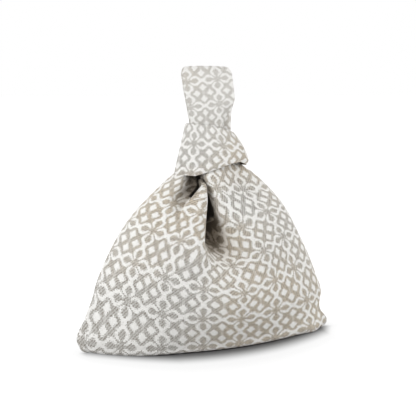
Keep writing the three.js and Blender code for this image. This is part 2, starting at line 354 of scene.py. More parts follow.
def along(knots, z):
    """A value read off (height, value) knots, eased between them."""
    points = sorted(knots)
    heights = np.array([p[0] for p in points], float)
    values = np.array([p[1] for p in points], float)
    around = np.linspace(-KNOT_EASE, KNOT_EASE, KNOT_SAMPLES)
    return np.mean([np.interp(z + w, heights, values) for w in around], axis=0)


def read_off(points, place):
    """A value read off straight lines between (place, value) points."""
    return np.interp(place, *zip(*points))


def bump(z, rows):
    return sum(reach * np.exp(-(((z - middle) / spread) ** 2)) for reach, middle, spread in rows)


def half_width(z, side):
    rise = np.clip((z - EAR_TOP) / (NECK_HEIGHT - EAR_TOP), 0.0, 1.0)
    dome = (1.0 - rise**DOME_ROUNDNESS) ** DOME_FULLNESS
    reach, middle, half = LEFT_EAR if side == LEFT else RIGHT_EAR
    bulges = LEFT_BULGES if side == LEFT else RIGHT_BULGES
    ear = np.cos(math.pi / 2 * np.minimum(1.0, np.abs(z - middle) / half)) ** 2
    return mix(NECK_WIDTH, BODY_WIDTH, dome) / 2 + reach * ear + bump(z, bulges)


def half_depth(z):
    low = mix(BASE_DEPTH, BODY_DEPTH, np.sin(math.pi / 2 * np.clip(z / BELLY_HEIGHT, 0, 1))) / 2
    rise = np.clip((z - BELLY_HEIGHT) / (NECK_HEIGHT - BELLY_HEIGHT), 0.0, 1.0)
    high = mix(NECK_DEPTH, BODY_DEPTH, (1.0 - rise**LEAN_ROUNDNESS) ** LEAN_FULLNESS) / 2
    return np.where(z < BELLY_HEIGHT, low, high)


def middle_at(z):
    return NECK_SHIFT * smooth(z / NECK_HEIGHT)


def pinch_at(z):
    """How sharply a level section of the hull runs out at its sides."""
    return 1.0 + CORNER_PINCH * (1.0 - smooth(z / PINCH_HEIGHT))


def seam_x(z, side):
    return middle_at(z) + side * half_width(z, side)


def hull_depth(x, z):
    """How far the plain hull stands from the seam plane at this place."""
    half = np.where(x < middle_at(z), half_width(z, LEFT), half_width(z, RIGHT))
    across = np.clip((x - middle_at(z)) / half, -1.0, 1.0)
    return half_depth(z) * np.maximum(0.0, 1.0 - across * across) ** (pinch_at(z) / 2)


def hull_x(depth, z, side):
    """Where the plain hull stands this far from the seam plane."""
    share = np.clip(depth / half_depth(z), 0.0, 1.0) ** (2.0 / pinch_at(z))
    return middle_at(z) + side * half_width(z, side) * np.sqrt(1.0 - share)


def ease_in(count):
    """Steps from 0 to 1 that start close together, for the tight curve beside a seam."""
    return 1.0 - np.cos(np.linspace(0.0, math.pi / 2, count))


def steps(start, end, count):
    """Even steps from start to end, without start itself."""
    return np.linspace(start, end, count + 1)[1:]


# Rows of the panels: x and inward depth at one height, from the left seam to the right seam.
def shoulder_row(z, edge, ridge):
    """Left shoulder, running down into the hollow beside the pleat."""
    left, hollow = seam_x(z, LEFT), along(HOLLOW_DEPTH, z)
    end = edge + max(TUCK_START, min(HOLLOW_TUCK * hollow + TUCK_START, ridge - edge))
    start = max(edge - along(HOLLOW_SPREAD, z), left + SHOULDER_LEAST)
    mouth = end - along(HOLLOW_OPEN, z)
    shoulder_x = left + (start - left) * ease_in(SHOULDER_COLUMNS)
    slope_x = np.concatenate([
        steps(start, mouth, SLOPE_COLUMNS),
        steps(mouth, end, MOUTH_COLUMNS),
    ])
    slope_d = hollow * smooth((slope_x - start) / (end - start)) ** SLOPE_EASE
    return np.concatenate([shoulder_x, slope_x]), np.concatenate([0 * shoulder_x, slope_d])


def pleat_row(z, edge, ridge):
    """Pleat between the hollow and the slit, standing proud, and its lip behind the ridge."""
    hollow, slit = along(HOLLOW_DEPTH, z), along(SLIT_DEPTH, z)
    t = np.linspace(0.0, 1.0, PLEAT_COLUMNS)
    drop = CREST_DROP * smooth((t - CREST_DROP_FROM) / (1.0 - CREST_DROP_FROM)) ** 2
    depth = min(1.0, slit / CREST_FULL) * (drop - PLEAT_CREST * np.sin(math.pi * t) ** CREST_ROUND)
    depth = depth - PLEAT_EDGE * min(1.0, hollow / EDGE_FULL) * (1.0 - smooth(t / EDGE_SHARE))
    depth = depth + slit * smooth((z - PLEAT_TOP) / PLEAT_FALL)
    k = steps(0.0, 1.0, LIP_COLUMNS)
    lip_x = ridge - along(RIDGE_TUCK, z) * k
    lip_d = mix(depth[-1], LIP_SHARE * slit, k)
    return np.concatenate([edge + (ridge - edge) * t, lip_x]), np.concatenate([depth, lip_d])


def flap_row(z, ridge):
    """Slit, and the right flap that rolls into it above and runs out as a valley below."""
    right, slit = seam_x(z, RIGHT), along(SLIT_DEPTH, z)
    first = ridge - along(RIDGE_TUCK, z)
    verge = first + along(SLIT_OPEN, z)
    turn = smooth((z - TURN_FROM) / TURN_SPAN)
    last = mix(along(VALLEY_BRIM, z), verge + along(FLAP_SOFT, z), turn)
    x = np.concatenate([
        np.linspace(first, verge, SLIT_COLUMNS),
        steps(verge, last, FLAP_COLUMNS),
    ])
    floor = mix(first, verge, FLOOR_SHARE)
    valley = slit * (1.0 - smooth((x - floor) / (last - floor)))
    away = np.clip((last - x) / (last - verge), 0.0, 1.0)
    depth = mix(valley, FLAP_TURN * away * away, turn)
    flank_x = (right - (right - last) * ease_in(FLANK_COLUMNS)[::-1])[1:]
    return np.concatenate([x, flank_x]), np.concatenate([depth, 0 * flank_x])


def front_row(z):
    ridge = along(RIDGE, z)
    edge = min(along(HOLLOW_EDGE, z), ridge - PLEAT_LEAST)
    parts = (shoulder_row(z, edge, ridge), pleat_row(z, edge, ridge), flap_row(z, ridge))
    return tuple(np.concatenate(values) for values in zip(*parts))


def back_row(z):
    slit, hole, half = along(BACK_SLIT, z), along(ARMHOLE, z), half_depth(z)
    first = np.minimum(ARMHOLE_MIDDLE - hole / 2, ARMHOLE_LIMITS[0] * half)
    second = np.minimum(ARMHOLE_MIDDLE + hole / 2, ARMHOLE_LIMITS[1] * half)
    left, left_1, left_2 = seam_x(z, LEFT), hull_x(first, z, LEFT), hull_x(second, z, LEFT)
    right, right_1, right_2 = seam_x(z, RIGHT), hull_x(first, z, RIGHT), hull_x(second, z, RIGHT)
    slit_1, slit_2 = SLIT_X - slit / 2, SLIT_X + slit / 2
    x = np.concatenate([
        left + (left_1 - left) * ease_in(BACK_SIDE + 1),
        steps(left_1, left_2, BACK_HOLE),
        steps(left_2, slit_1, BACK_MIDDLE),
        steps(slit_1, slit_2, BACK_GAP),
        steps(slit_2, right_2, BACK_MIDDLE),
        steps(right_2, right_1, BACK_HOLE),
        right - (right - right_1) * ease_in(BACK_SIDE + 1)[::-1][1:],
    ])
    away = (x - SLIT_X) / mix(*VALLEY_REACH, smooth((z - VALLEY_FROM) / VALLEY_SPAN))
    return x, along(BACK_VALLEY, z) * np.exp(-away * away)


# Body panels.
def wrinkles(x, z, phase):
    """Small soft waves of slack cloth, in millimetres outward."""
    def crossing(waves):
        return np.prod([np.sin(x / wide + z / tall + share * phase) for wide, tall, share in waves], axis=0)

    rise = smooth((z - WAVES_FROM) / WAVES_SPAN)
    return rise * (WIDE_HEIGHT * crossing(WIDE_WAVES) + FINE_HEIGHT * crossing(FINE_WAVES))


def creases(x, z):
    """How far the seam's groove and the lower edge's crease go in."""
    beside = (x - seam_x(z, LEFT) - GROOVE_PLACE) / GROOVE_WIDTH
    groove = GROOVE_DEPTH * np.exp(-beside * beside) * (1.0 - smooth((z - GROOVE_TOP) / GROOVE_FADE))
    above = (z - CREASE_HEIGHT) / CREASE_WIDTH
    crease = CREASE_DEPTH * np.exp(-above * above) * smooth((x - CREASE_FROM) / CREASE_FADE)
    return groove + crease * smooth((seam_x(z, RIGHT) - x) / CREASE_FADE)


def row_heights():
    heights = [np.array([PANEL_TOP])]
    for foot, count in ROW_BANDS:
        heights.append(steps(heights[-1][-1], foot, count))
    return np.concatenate(heights)


def panel(row, side, phase, swells=()):
    """Upright part of a body panel. Only the front has swells, and with them its creases."""
    rows = []
    for z in row_heights():
        x, inward = row(float(z))
        depth = hull_depth(x, z)
        outward = wrinkles(x, z, phase) + sum(
            amount * np.exp(-(((x - x0) / wide) ** 2) - (((z - z0) / tall) ** 2))
            for x0, z0, wide, tall, amount in swells
        )
        inward = np.minimum(inward, np.maximum(0.0, depth - LEAST_DEPTH))
        depth = depth - inward + outward * smooth(depth / SLACK_DEPTH)
        if swells:
            depth = np.maximum(CREASE_FLOOR * depth, depth - creases(x, z))
        rows.append(np.stack([x, side * depth, np.full_like(x, z)], -1))
    return np.array(rows)


def average_near(field):
    return (field[:-2, 1:-1] + field[2:, 1:-1] + field[1:-1, :-2] + field[1:-1, 2:]) / 4


def relax(grid, passes, crisp_columns=()):
    """Takes the hard corners off a fold, leaving the rim where it is. Crisp columns hold their place
    above, and then the cloth below them is softened further."""
    crisp = smooth((grid[1:-1, :1, 2] - CRISP_FROM) / CRISP_SPAN)
    for step in range(passes + (SOFT_PASSES if crisp_columns else 0)):
        share = RELAX_SHARE if step < passes else RELAX_SHARE * (1.0 - crisp)[:, :, None]
        moved = mix(grid[1:-1, 1:-1], average_near(grid), share)
        for column in crisp_columns:
            moved[:, column - 1] = mix(moved[:, column - 1], grid[1:-1, column], CRISP_HOLD * crisp)
        grid[1:-1, 1:-1] = moved
    return grid


def with_base(grid, side):
    """Adds the rolled lower edge and the half of the base that belongs to this panel."""
    last = grid[-1]
    x, depth = last[:, 0], np.abs(last[:, 1])
    end = smooth((np.abs(x) / np.abs(x).max() - CORNER_FROM) / (1.0 - CORNER_FROM))
    rows = []
    for angle in steps(0.0, math.pi / 2, ROLL_STEPS):
        under = 1.0 - math.cos(angle)
        inset = ROLL_RADIUS * under * np.sqrt(depth / depth.max())
        row = last.copy()
        row[:, 0] -= np.sign(x) * CORNER_RADIUS * under * end
        row[:, 1] = side * np.maximum(0.0, depth - inset)
        row[:, 2] = mix(last[:, 2], BASE_LIFT, math.sin(angle))
        rows.append(row)
    edge = rows[-1]
    for k in steps(0.0, 1.0, BASE_STEPS):
        row = edge.copy()
        row[:, 1] = edge[:, 1] * (1.0 - k)
        rows.append(row)
    return np.concatenate([grid, np.array(rows)])


# Openings, as the faces of a grid that are left out.
def column_cut(grid, columns, foot):
    """Faces between two grid columns that lie above this height."""
    cut = np.zeros((grid.shape[0] - 1, grid.shape[1] - 1), bool)
    cut[grid[1:, 0, 2] > foot, columns[0] : columns[1]] = True
    return cut


def slit_cut(grid):
    """Faces of the front slit, which narrows to a point beside the ridge at its lower end."""
    cut = np.zeros((grid.shape[0] - 1, grid.shape[1] - 1), bool)
    share = np.clip((grid[1:, 0, 2] - SLIT_END) / SLIT_TAPER, 0.0, 1.0)
    for row, wide in enumerate(np.rint(share * SLIT_COLUMNS).astype(int)):
        cut[row, SLIT_COLUMN : SLIT_COLUMN + wide] = True
    return cut


# Pattern coordinates, in cells.
def arc(points, axis):
    """Length along the cloth from the grid's first row or column."""
    lengths = np.linalg.norm(np.diff(points, axis=axis), axis=-1)
    start = np.zeros_like(np.take(lengths, [0], axis=axis))
    return np.concatenate([start, np.cumsum(lengths, axis=axis)], axis=axis)


def plain_pattern(grid, cell_u, cell_v):
    across, down = arc(grid, 1), arc(grid, 0)
    middle = across[:, [grid.shape[1] // 2]]
    return (across - middle) / cell_u, -down / cell_v


def column_level(knots, z):
    """Which row of the pattern a column shows at this height, carried on past its ends."""
    heights, rows = np.array([k[0] for k in knots]), np.arange(len(knots), dtype=float)
    if z < heights[0]:
        return (z - heights[0]) / (heights[1] - heights[0])
    if z > heights[-1]:
        return rows[-1] + (z - heights[-1]) / (heights[-1] - heights[-2])
    return np.interp(z, heights, rows)


def column_x(knots, z):
    """Where a column stands at this height, carried on past its upper end."""
    (low_z, low_x), (top_z, top_x) = knots[-2:]
    if z > top_z:
        return top_x + (top_x - low_x) / (top_z - low_z) * (z - top_z)
    return read_off(knots, z)


def group_pattern(columns, z, x, s, free):
    """Pattern coordinates along one row from one group of columns. free moves the group's column
    beside the slit off its knots and one cell from its neighbour."""
    numbers = np.array([number for number, knots in columns], float)
    places = np.array([np.interp(column_x(knots, z), x, s) for number, knots in columns])
    levels = np.array([column_level(knots, z) for number, knots in columns])
    inner, toward = (-1, 1) if columns is LEFT_COLUMNS else (0, -1)
    steady = places[inner - toward] + toward * CELL
    places[inner] = mix(places[inner], steady, free)
    levels[inner] = mix(levels[inner], levels[inner - toward], FREE_LEVEL * free)
    u = np.interp(s, places, numbers)
    low, high = s < places[0], s > places[-1]
    u[low] = numbers[0] + (s[low] - places[0]) / CELL
    u[high] = numbers[-1] + (s[high] - places[-1]) / CELL
    return u, np.interp(s, places, levels), places[inner]


def eased_pattern(grid, fields):
    """Evens out the pattern where the two groups of columns meet below the slit."""
    z = grid[1:-1, 0, 2]
    window = smooth((z - EASED[0]) / EASED_SPAN) * (1.0 - smooth((z - EASED[1]) / EASED_SPAN))
    column = np.arange(1, grid.shape[1] - 1)
    start, end = RIDGE_COLUMN - EASED_BEFORE, VERGE_COLUMN + FLAP_COLUMNS
    reach = smooth((column - start) / EASED_COLUMNS) * (1.0 - smooth((column - end) / EASED_COLUMNS))
    ease = np.maximum(window[:, None] * reach[None, :], EASED_LEAST)
    for _ in range(EASE_PASSES):
        for field in fields:
            field[1:-1, 1:-1] = mix(field[1:-1, 1:-1], average_near(field), EASE_SHARE * ease)
    return fields


def front_pattern(grid):
    """Pattern coordinates of the front panel: each side of the slit follows its own columns, and the two
    meet in the slit above and between the middle columns below."""
    across, down = arc(grid, 1), arc(grid, 0)
    u, v = np.zeros(grid.shape[:2]), np.zeros(grid.shape[:2])
    foot = np.argmax(grid[:, 0, 2] <= ROLL_RADIUS)
    for i, row in enumerate(grid):
        z = max(row[:, 2].mean(), ROLL_RADIUS)
        s, x = across[i], np.maximum.accumulate(row[:, 0])
        left_free, right_free = (smooth((z - start) / FREE_SPAN) for start in (LEFT_FREE, RIGHT_FREE))
        left_u, left_v, left_end = group_pattern(LEFT_COLUMNS, z, x, s, left_free)
        right_u, right_v, right_end = group_pattern(RIGHT_COLUMNS, z, x, s, right_free)
        gather = smooth((z - GATHER_FROM) / GATHER_SPAN)
        first = mix(left_end, s[SLIT_COLUMN] - GATHER_REACH, gather)
        last = mix(right_end, s[SLIT_COLUMN] + GATHER_REACH, gather)
        share = smooth((s - first) / max(LEAST_BLEND, last - first))
        u[i], v[i] = mix(left_u, right_u, share), mix(left_v, right_v, share)
        if i > foot:
            v[i] -= (down[i] - down[foot]) / ROW_BELOW
    return eased_pattern(grid, (u, v))


def front_painted_shade(grid):
    """How much painted shade the cloth gets from how far into a fold it lies: one share for the fold,
    and one for its floor further in, which is painted darker.
    """
    depth = hull_depth(grid[:, :, 0], grid[:, :, 2]) + grid[:, :, 1]
    return np.stack([smooth((depth - near) / (far - near)) for near, far in PAINTED_SHADE_DEPTH], -1)


# Meshes.
def link(thing):
    bpy.context.scene.collection.objects.link(thing)


def make_piece(name, grid, u, v, cut=None, flip=False, fold=None):
    """A mesh from a grid of points in millimetres, with the pattern coordinates as its UV map and the
    painted shade of its folds as a second map. Faces that are cut are left out."""
    rows, columns = grid.shape[:2]
    i, j = np.meshgrid(np.arange(rows - 1), np.arange(columns - 1), indexing="ij")
    corners = ((i, j), (i + 1, j), (i + 1, j + 1), (i, j + 1))
    kept = np.ones((rows - 1, columns - 1), bool) if cut is None else ~cut
    order = slice(None, None, -1) if flip else slice(None)

    def at_corners(field):
        return np.stack([field[a, b] for a, b in corners], 2)[kept][:, order]

    mesh = bpy.data.meshes.new(name)
    faces = at_corners(np.arange(rows * columns).reshape(rows, columns))
    mesh.from_pydata((grid.reshape(-1, 3) / MILLIMETRES).tolist(), [], faces.tolist())
    # The map named fold carries the painted shade of the folds, and is empty on the other pieces.
    maps = {"pattern": np.stack([u, v], -1), "fold": np.zeros((rows, columns, 2)) if fold is None else fold}
    for map_name, field in maps.items():
        layer = mesh.uv_layers.new(name=map_name)
        layer.data.foreach_set("uv", at_corners(field).astype(np.float32).ravel())
    mesh.polygons.foreach_set("use_smooth", np.ones(len(mesh.polygons), bool))
    mesh.update()
    piece = bpy.data.objects.new(name, mesh)
    link(piece)
    return piece


def clean(piece):
    """Joins the points that meet and removes those that a cut has left without a face."""
    work = bmesh.new()
    work.from_mesh(piece.data)
    bmesh.ops.remove_doubles(work, verts=work.verts, dist=MERGE)
    bmesh.ops.delete(work, geom=[v for v in work.verts if not v.link_faces], context="VERTS")
    work.to_mesh(piece.data)
    work.free()


def thicken(piece, thickness):
    solid = piece.modifiers.new("cloth thickness", "SOLIDIFY")
    solid.thickness = thickness / MILLIMETRES
    solid.offset = -1.0


def normals(grid):
    across = np.gradient(grid, axis=1)
    down = np.gradient(grid, axis=0)
    n = np.cross(down, across)
    return n / np.maximum(1e-9, np.linalg.norm(n, axis=-1, keepdims=True))


# Front panel.
front_grid = panel(front_row, FRONT, FRONT_PHASE, FRONT_SWELLS)
front_grid = with_base(relax(front_grid, PANEL_PASSES, (PLEAT_COLUMN, RIDGE_COLUMN)), FRONT)
front_cut = slit_cut(front_grid)
front_cut |= column_cut(front_grid, (MOUTH_COLUMN, PLEAT_COLUMN), HOLLOW_END)
front_cut |= column_cut(front_grid, (PLEAT_COLUMN, SLIT_COLUMN), PLEAT_END)
front_panel = make_piece(
    "front_panel_cloth", front_grid, *front_pattern(front_grid), cut=front_cut, fold=front_painted_shade(front_grid)
)

# Back panel.
back_grid = with_base(relax(panel(back_row, BACK, BACK_PHASE), PANEL_PASSES), BACK)
armholes = column_cut(back_grid, LEFT_HOLE, ARMHOLE_FOOT) | column_cut(back_grid, RIGHT_HOLE, ARMHOLE_FOOT)
back_cut = armholes | column_cut(back_grid, MIDDLE_SLIT, SLIT_FOOT)
back_panel = make_piece(
    "back_panel_cloth", back_grid, *plain_pattern(back_grid, *BACK_CELL), cut=back_cut, flip=True
)


# Linings.
def lining(name, grid, cut, side):
    """The lining lies just inside its panel."""
    inner = grid + side * normals(grid) * LINING_GAP
    inner[:, :, 1] = side * np.maximum(LINING_LEAST, side * inner[:, :, 1])
    inner[:, :, 2] = np.maximum(inner[:, :, 2], BASE_LIFT + LINING_GAP)
    inner = relax(inner, LINING_PASSES)
    return make_piece(name, inner, *plain_pattern(inner, CELL, CELL), cut=cut, flip=side == BACK)


front_lining = lining("front_lining_cloth", front_grid, front_cut, FRONT)
back_lining = lining("back_lining_cloth", back_grid, armholes, BACK)


# Collar.
def collar_profile():
    """Section of the collar as (share of height, inset): up the outside from the hem, over the top edge
    and down the inside."""
    def inset(angle):
        return -COLLAR_THICKNESS * (0.5 - 0.5 * math.sin(angle))

    turn = np.linspace(-math.pi / 2, math.pi / 2, COLLAR_EDGE_POINTS)
    profile = [(-COLLAR_EDGE * math.cos(a), inset(a)) for a in turn]
    profile += [(t, 0.0) for t in steps(0.0, 1.0, COLLAR_OUTER_STEPS)[:-1]]
    profile += [(1.0 + COLLAR_EDGE * math.cos(a), inset(a)) for a in turn[::-1]]
    profile += [(t, -COLLAR_THICKNESS) for t in steps(1.0, 0.0, COLLAR_INNER_STEPS)[:-1]]
    return profile + profile[:1]


def collar_grid():
    """Closed ring round the neck, with one row for each point of the profile."""
    angles = np.linspace(-math.pi, math.pi, COLLAR_COLUMNS + 1)
    side, facing = np.sin(angles), np.cos(angles)
    left_pinch = mix(1.0, COLLAR_LEFT_PINCH, smooth(-side))
    right_pinch = mix(1.0, COLLAR_RIGHT_ROUND, smooth(side))
    section = -np.sign(facing) * np.abs(facing) ** np.where(side < 0, left_pinch, right_pinch)
    toward_front = smooth(facing * HEM_TURN + 0.5)
    swell = SWELL_HEIGHT * np.cos(SWELL_TURN * side + SWELL_PHASE) * (facing > 0)
    rows = []
    for t, inset in collar_profile():
        left = read_off(COLLAR_LEFT, t)
        right = COLLAR_RIGHT - COLLAR_DRAW * np.clip(t, 0, 2) ** COLLAR_DRAW_POWER
        right = right - TIP_DRAW * (1.0 - smooth(t / TIP_SHARE))
        x = (left + right) / 2 + ((right - left) / 2 + inset) * side
        depth = mix(COLLAR_HEM_DEPTH, COLLAR_TOP_DEPTH, smooth(COLLAR_TAPER * t)) + inset
        y = depth * section - swell * np.sin(math.pi * np.clip(t, 0, 1))
        hem = mix(read_off(BACK_HEM, x), read_off(FRONT_HEM, x), toward_front)
        rows.append(np.stack([x, y, mix(hem, read_off(COLLAR_TOP, x), t)], -1))
    grid = np.array(rows)
    grid[:, -1] = grid[:, 0]
    return grid


def collar_pattern(grid):
    """Measured round the collar along one row, and up and down from its outer top edge."""
    across, down = arc(grid, 1), arc(grid, 0)
    u = np.repeat(across[[COLLAR_MIDDLE_ROW]], len(grid), 0) / COLLAR_CELL[0]
    v = (down - down[[COLLAR_TOP_ROW]]) / COLLAR_CELL[1]
    return u + COLLAR_PATTERN[0], v + COLLAR_PATTERN[1]


collar_points = collar_grid()
collar = make_piece("collar_cloth", collar_points, *collar_pattern(collar_points), flip=True)


# Wrist loop.
def loop_path():
    """Middle line of the strap as (y, z), from the front foot over the top to the back foot."""
    shoulder = LOOP_TOP - LOOP_CORNER
    legs = np.linspace(LOOP_FOOT, shoulder, LOOP_LEG_POINTS)
    front = [(-LOOP_HALF_GAP, z) for z in legs]
    crown = [
        (-LOOP_HALF_GAP * math.cos(a), shoulder + LOOP_CORNER * math.sin(a))
        for a in steps(0.0, math.pi, LOOP_CROWN_STEPS)[:-1]
    ]
    back = [(LOOP_HALF_GAP, z) for z in legs[::-1]]
    return np.array(front + crown + back)


def loop_grid():
    """A soft flat tube along the path, closed at both feet."""
    path = loop_path()
    tangent = np.gradient(path, axis=0)
    tangent /= np.linalg.norm(tangent, axis=1, keepdims=True)
    outward = np.stack([-tangent[:, 1], tangent[:, 0]], -1)
    outward[[0, -1]] = 0.0
    angles = np.linspace(0.0, 2 * math.pi, LOOP_COLUMNS + 1)
    side, lift = np.cos(angles), np.sin(angles)
    flat = np.sign(side) * np.abs(side) ** LOOP_SQUARE
    puff = LOOP_THICKNESS / 2 * (1.0 + LOOP_PUFF * (1.0 - flat * flat))
    thick = np.sign(lift) * np.abs(lift) ** LOOP_ROUND * puff
    right_edge = smooth((flat - LOOP_TURN_FROM) / (1.0 - LOOP_TURN_FROM))
    rows = []
    for (y, z), (out_y, out_z) in zip(path, outward):
        turn = (y < 0) * smooth((LOOP_TURN_TOP - z) / LOOP_TURN_SPAN) * right_edge
        x = along(LOOP_MIDDLE, z) + along(LOOP_HALF, z) * flat - LOOP_TURN_IN * turn
        rows.append(np.stack([x, y + out_y * thick + LOOP_TURN_BACK * turn, z + out_z * thick], -1))
    grid = np.array(rows)
    grid[:, -1] = grid[:, 0]
    half = LOOP_COLUMNS // 2
    for end in (0, -1):
        grid[end, half:] = grid[end, half::-1]
    return grid


def loop_pattern(grid):
    """Measured across the strap from its middle and along it, with a slight tilt."""
    x, z = grid[:, :, 0], grid[:, :, 2]
    share = (x - along(LOOP_MIDDLE, z)) / along(LOOP_HALF, z)
    climb = np.mean(arc(grid, 0), axis=1, keepdims=True) - LOOP_TILT * (x - LOOP_PIVOT)
    u = share * LOOP_PATTERN_HALF / STRAP_CELL[0] + LOOP_PATTERN[0]
    return u, climb / STRAP_CELL[1] + LOOP_PATTERN[1]


loop_points = loop_grid()
wrist_loop = make_piece("wrist_loop_cloth", loop_points, *loop_pattern(loop_points))

for piece in (front_panel, back_panel, front_lining, back_lining, collar, wrist_loop):
    clean(piece)
for piece in (front_panel, back_panel):
    thicken(piece, CLOTH)
for piece in (front_lining, back_lining):
    thicken(piece, LINING)


# Materials.
class Nodes:
    """Short calls for the nodes of a material or the world."""

    def __init__(self, owner, shader="Principled BSDF"):
        owner.use_nodes = True
        self.tree = owner.node_tree
        self.shader = self.tree.nodes[shader]

    def put(self, socket, value):
        if isinstance(value, bpy.types.NodeSocket):
            self.tree.links.new(value, socket)
        else:
            socket.default_value = value

    def add(self, kind, *values, **settings):
        """A node with these settings, and these values in its first inputs."""
        node = self.tree.nodes.new(kind)
        for key, value in settings.items():
            setattr(node, key, value)
        for socket, value in zip(node.inputs, values):
            self.put(socket, value)
        return node

    def fill(self, node, **inputs):
        """Puts values in a node's inputs by name, with _ for a space."""
        for name, value in inputs.items():
            self.put(node.inputs[name.replace("_", " ")], value)
        return node

    def math(self, operation, *values):
        return self.add("ShaderNodeMath", *values, operation=operation).outputs[0]

    def plus(self, a, b):
        return self.math("ADD", a, b)

    def minus(self, a, b):
        return self.math("SUBTRACT", a, b)

    def times(self, a, b):
        return self.math("MULTIPLY", a, b)

    def over(self, a, b):
        return self.math("DIVIDE", a, b)

    def most(self, a, b):
        return self.math("MAXIMUM", a, b)

    def apart(self, a, b):
        return self.math("ABSOLUTE", self.minus(a, b))

    def wave(self, value, count):
        """A sine with this many waves in one unit of value."""
        return self.math("SINE", self.times(value, 2 * math.pi * count))

    def uv(self, name):
        return self.add("ShaderNodeUVMap", uv_map=name).outputs[0]

    def place(self):
        return self.add("ShaderNodeTexCoord").outputs["Object"]

    def split(self, vector):
        return self.add("ShaderNodeSeparateXYZ", vector).outputs

    def join(self, x, y):
        return self.add("ShaderNodeCombineXYZ", x, y).outputs[0]

    def noise(self, vector, scale, detail):
        node = self.add("ShaderNodeTexNoise")
        return self.fill(node, Vector=vector, Scale=scale, Detail=detail).outputs[0]

    def blend(self, factor, a, b):
        node = self.add("ShaderNodeMix", factor, data_type="RGBA")
        self.put(node.inputs[6], a)
        self.put(node.inputs[7], b)
        return node.outputs[2]

    def curve(self, value, stops):
        """A number read off straight stops."""
        node = self.add("ShaderNodeValToRGB", value)
        ramp = node.color_ramp
        while len(ramp.elements) < len(stops):
            ramp.elements.new(0.5)
        for element, (place, height) in zip(ramp.elements, stops):
            element.position = place
            element.color = (height, height, height, 1.0)
        return node.outputs[0]

    def spread(self, value, start, end, first, last):
        """From first to last, softly, as value goes from start to end."""
        inputs = (value, start, end, first, last)
        return self.add("ShaderNodeMapRange", *inputs, interpolation_type="SMOOTHSTEP").outputs[0]

    def edge(self, value, limit, soft):
        """1 where value is below limit, falling to 0 over a soft edge."""
        if isinstance(limit, float):
            return self.spread(value, limit - soft, limit + soft, 1.0, 0.0)
        return self.spread(value, self.minus(limit, soft), self.plus(limit, soft), 1.0, 0.0)

    def relief(self, height, strength, distance):
        node = self.add("ShaderNodeBump")
        return self.fill(node, Strength=strength, Distance=distance, Height=height).outputs[0]


def linear(r, g, b):
    """A colour given as 8-bit sRGB, as the shader takes it."""
    def one(c):
        c /= 255.0
        return c / 12.92 if c <= 0.04045 else ((c + 0.055) / 1.055) ** 2.4

    return (one(r), one(g), one(b), 1.0)


# Trellis pattern, in shares of a cell: two petals between neighbouring stars and four diamonds in a cell.
PETAL_LINE = ((0.0, 0.04), (0.11, 0.048), (0.15, 0.082), (0.19, 0.124), (0.245, 0.144), (0.3, 0.142),
              (0.335, 0.131), (0.36, 0.111), (0.38, 0.085), (0.4, 0.062), (0.43, 0.044),
              (0.465, 0.034), (0.5, 0.028))
PETAL_HALF = ((0.09, 0.0), (0.112, 0.03), (0.15, 0.044), (0.19, 0.05), (0.245, 0.048), (0.3, 0.049),
              (0.335, 0.054), (0.36, 0.064), (0.38, 0.071), (0.4, 0.062), (0.43, 0.05),
              (0.465, 0.04), (0.5, 0.036))
DIAMOND_PLACE = 0.28
TALL_DIAMOND = (0.116, 0.146)
WIDE_DIAMOND = (0.126, 0.132)
DIAMOND_FRAY = 8.0
DIAMOND_SOFT = 0.2
LINK_HALF = 0.018
LINK_SOFT = 0.012
LINK_AMOUNT = 0.6
PATTERN_SOFT = 0.017
FRAY = 0.12
GRAIN_FRAY = 0.018

# Weave: threads in a cell, uneven yarn, diagonal ribs in a cell, and how each one shades the ground.
THREADS = 26.0
SLUB_SCALE = 34.0
SLUB_DETAIL = 3.0
TWILL = (-12.5, 11.0)
TWILL_WANDER = 1.6
RIBS = 1.3
SLUBS = 5.0
GRAIN = 1.5
SHADE_GAIN = 0.36
SHADE_START = 0.32
CREAM_GRAIN = 0.5
FIGURE_RELIEF = 0.55
WEAVE_RELIEF = 0.16
CLOTH_RELIEF = (0.35, 0.0005)

# The grey yarn drifts from cool to warm, in clouds and in streaks along the warp.
DRIFT_SCALE = 13.0
DRIFT_DETAIL = 3.0
DRIFT_AMOUNT = 2.4
STREAK_CELLS = (40.0, 2.0)
STREAK_AMOUNT = 0.8
WARM_START = 1.2

# Where the grey runs warmer or cooler: x, height, reach across, reach up in metres, amount. The first
# zone, in the valley below the slit, is painted shade: the warm cast of that deep fold.
WARM_TONE_AND_SHADE_CAST_ZONES = (
    (0.005, 0.115, 0.03, 0.024, 0.9),
    (-0.02, 0.145, 0.016, 0.03, 0.6),
    (-0.06, 0.15, 0.035, 0.025, 0.5),
    (0.08, 0.05, 0.06, 0.06, 0.6),
    (0.03, 0.205, 0.02, 0.025, 0.7),
    (0.0, 0.268, 0.05, 0.03, -0.9),
    (-0.018, 0.278, 0.012, 0.012, 0.6),
    (-0.1, 0.04, 0.06, 0.05, -0.7),
    (0.02, 0.045, 0.035, 0.045, 0.4),
    (0.03, 0.155, 0.025, 0.025, -0.6),
    (-0.02, 0.215, 0.02, 0.025, -0.5),
)

# Yarn colours, and the painted shade in a fold and at its floor. The ground is paler on the straps,
# between two heights in metres.
CREAM = linear(243, 242, 239)
SHADED_CREAM = linear(226, 224, 220)
COOL_GREY = linear(198, 196, 192)
WARM_GREY_AND_SHADE_CAST = linear(204, 192, 174)
DEEP_GREY = linear(138, 132, 122)
PALE_GREY = linear(222, 219, 213)
PALE_FROM = 0.175
PALE_TO = 0.275
PALE_AMOUNT = 0.45
PAINTED_FOLD_SHADE_CREAM = linear(172, 160, 144)
PAINTED_FOLD_SHADE_GREY = linear(102, 91, 77)
PAINTED_FOLD_FLOOR_SHADE = linear(52, 45, 38)
PAINTED_FOLD_FLOOR_AMOUNT = 0.85

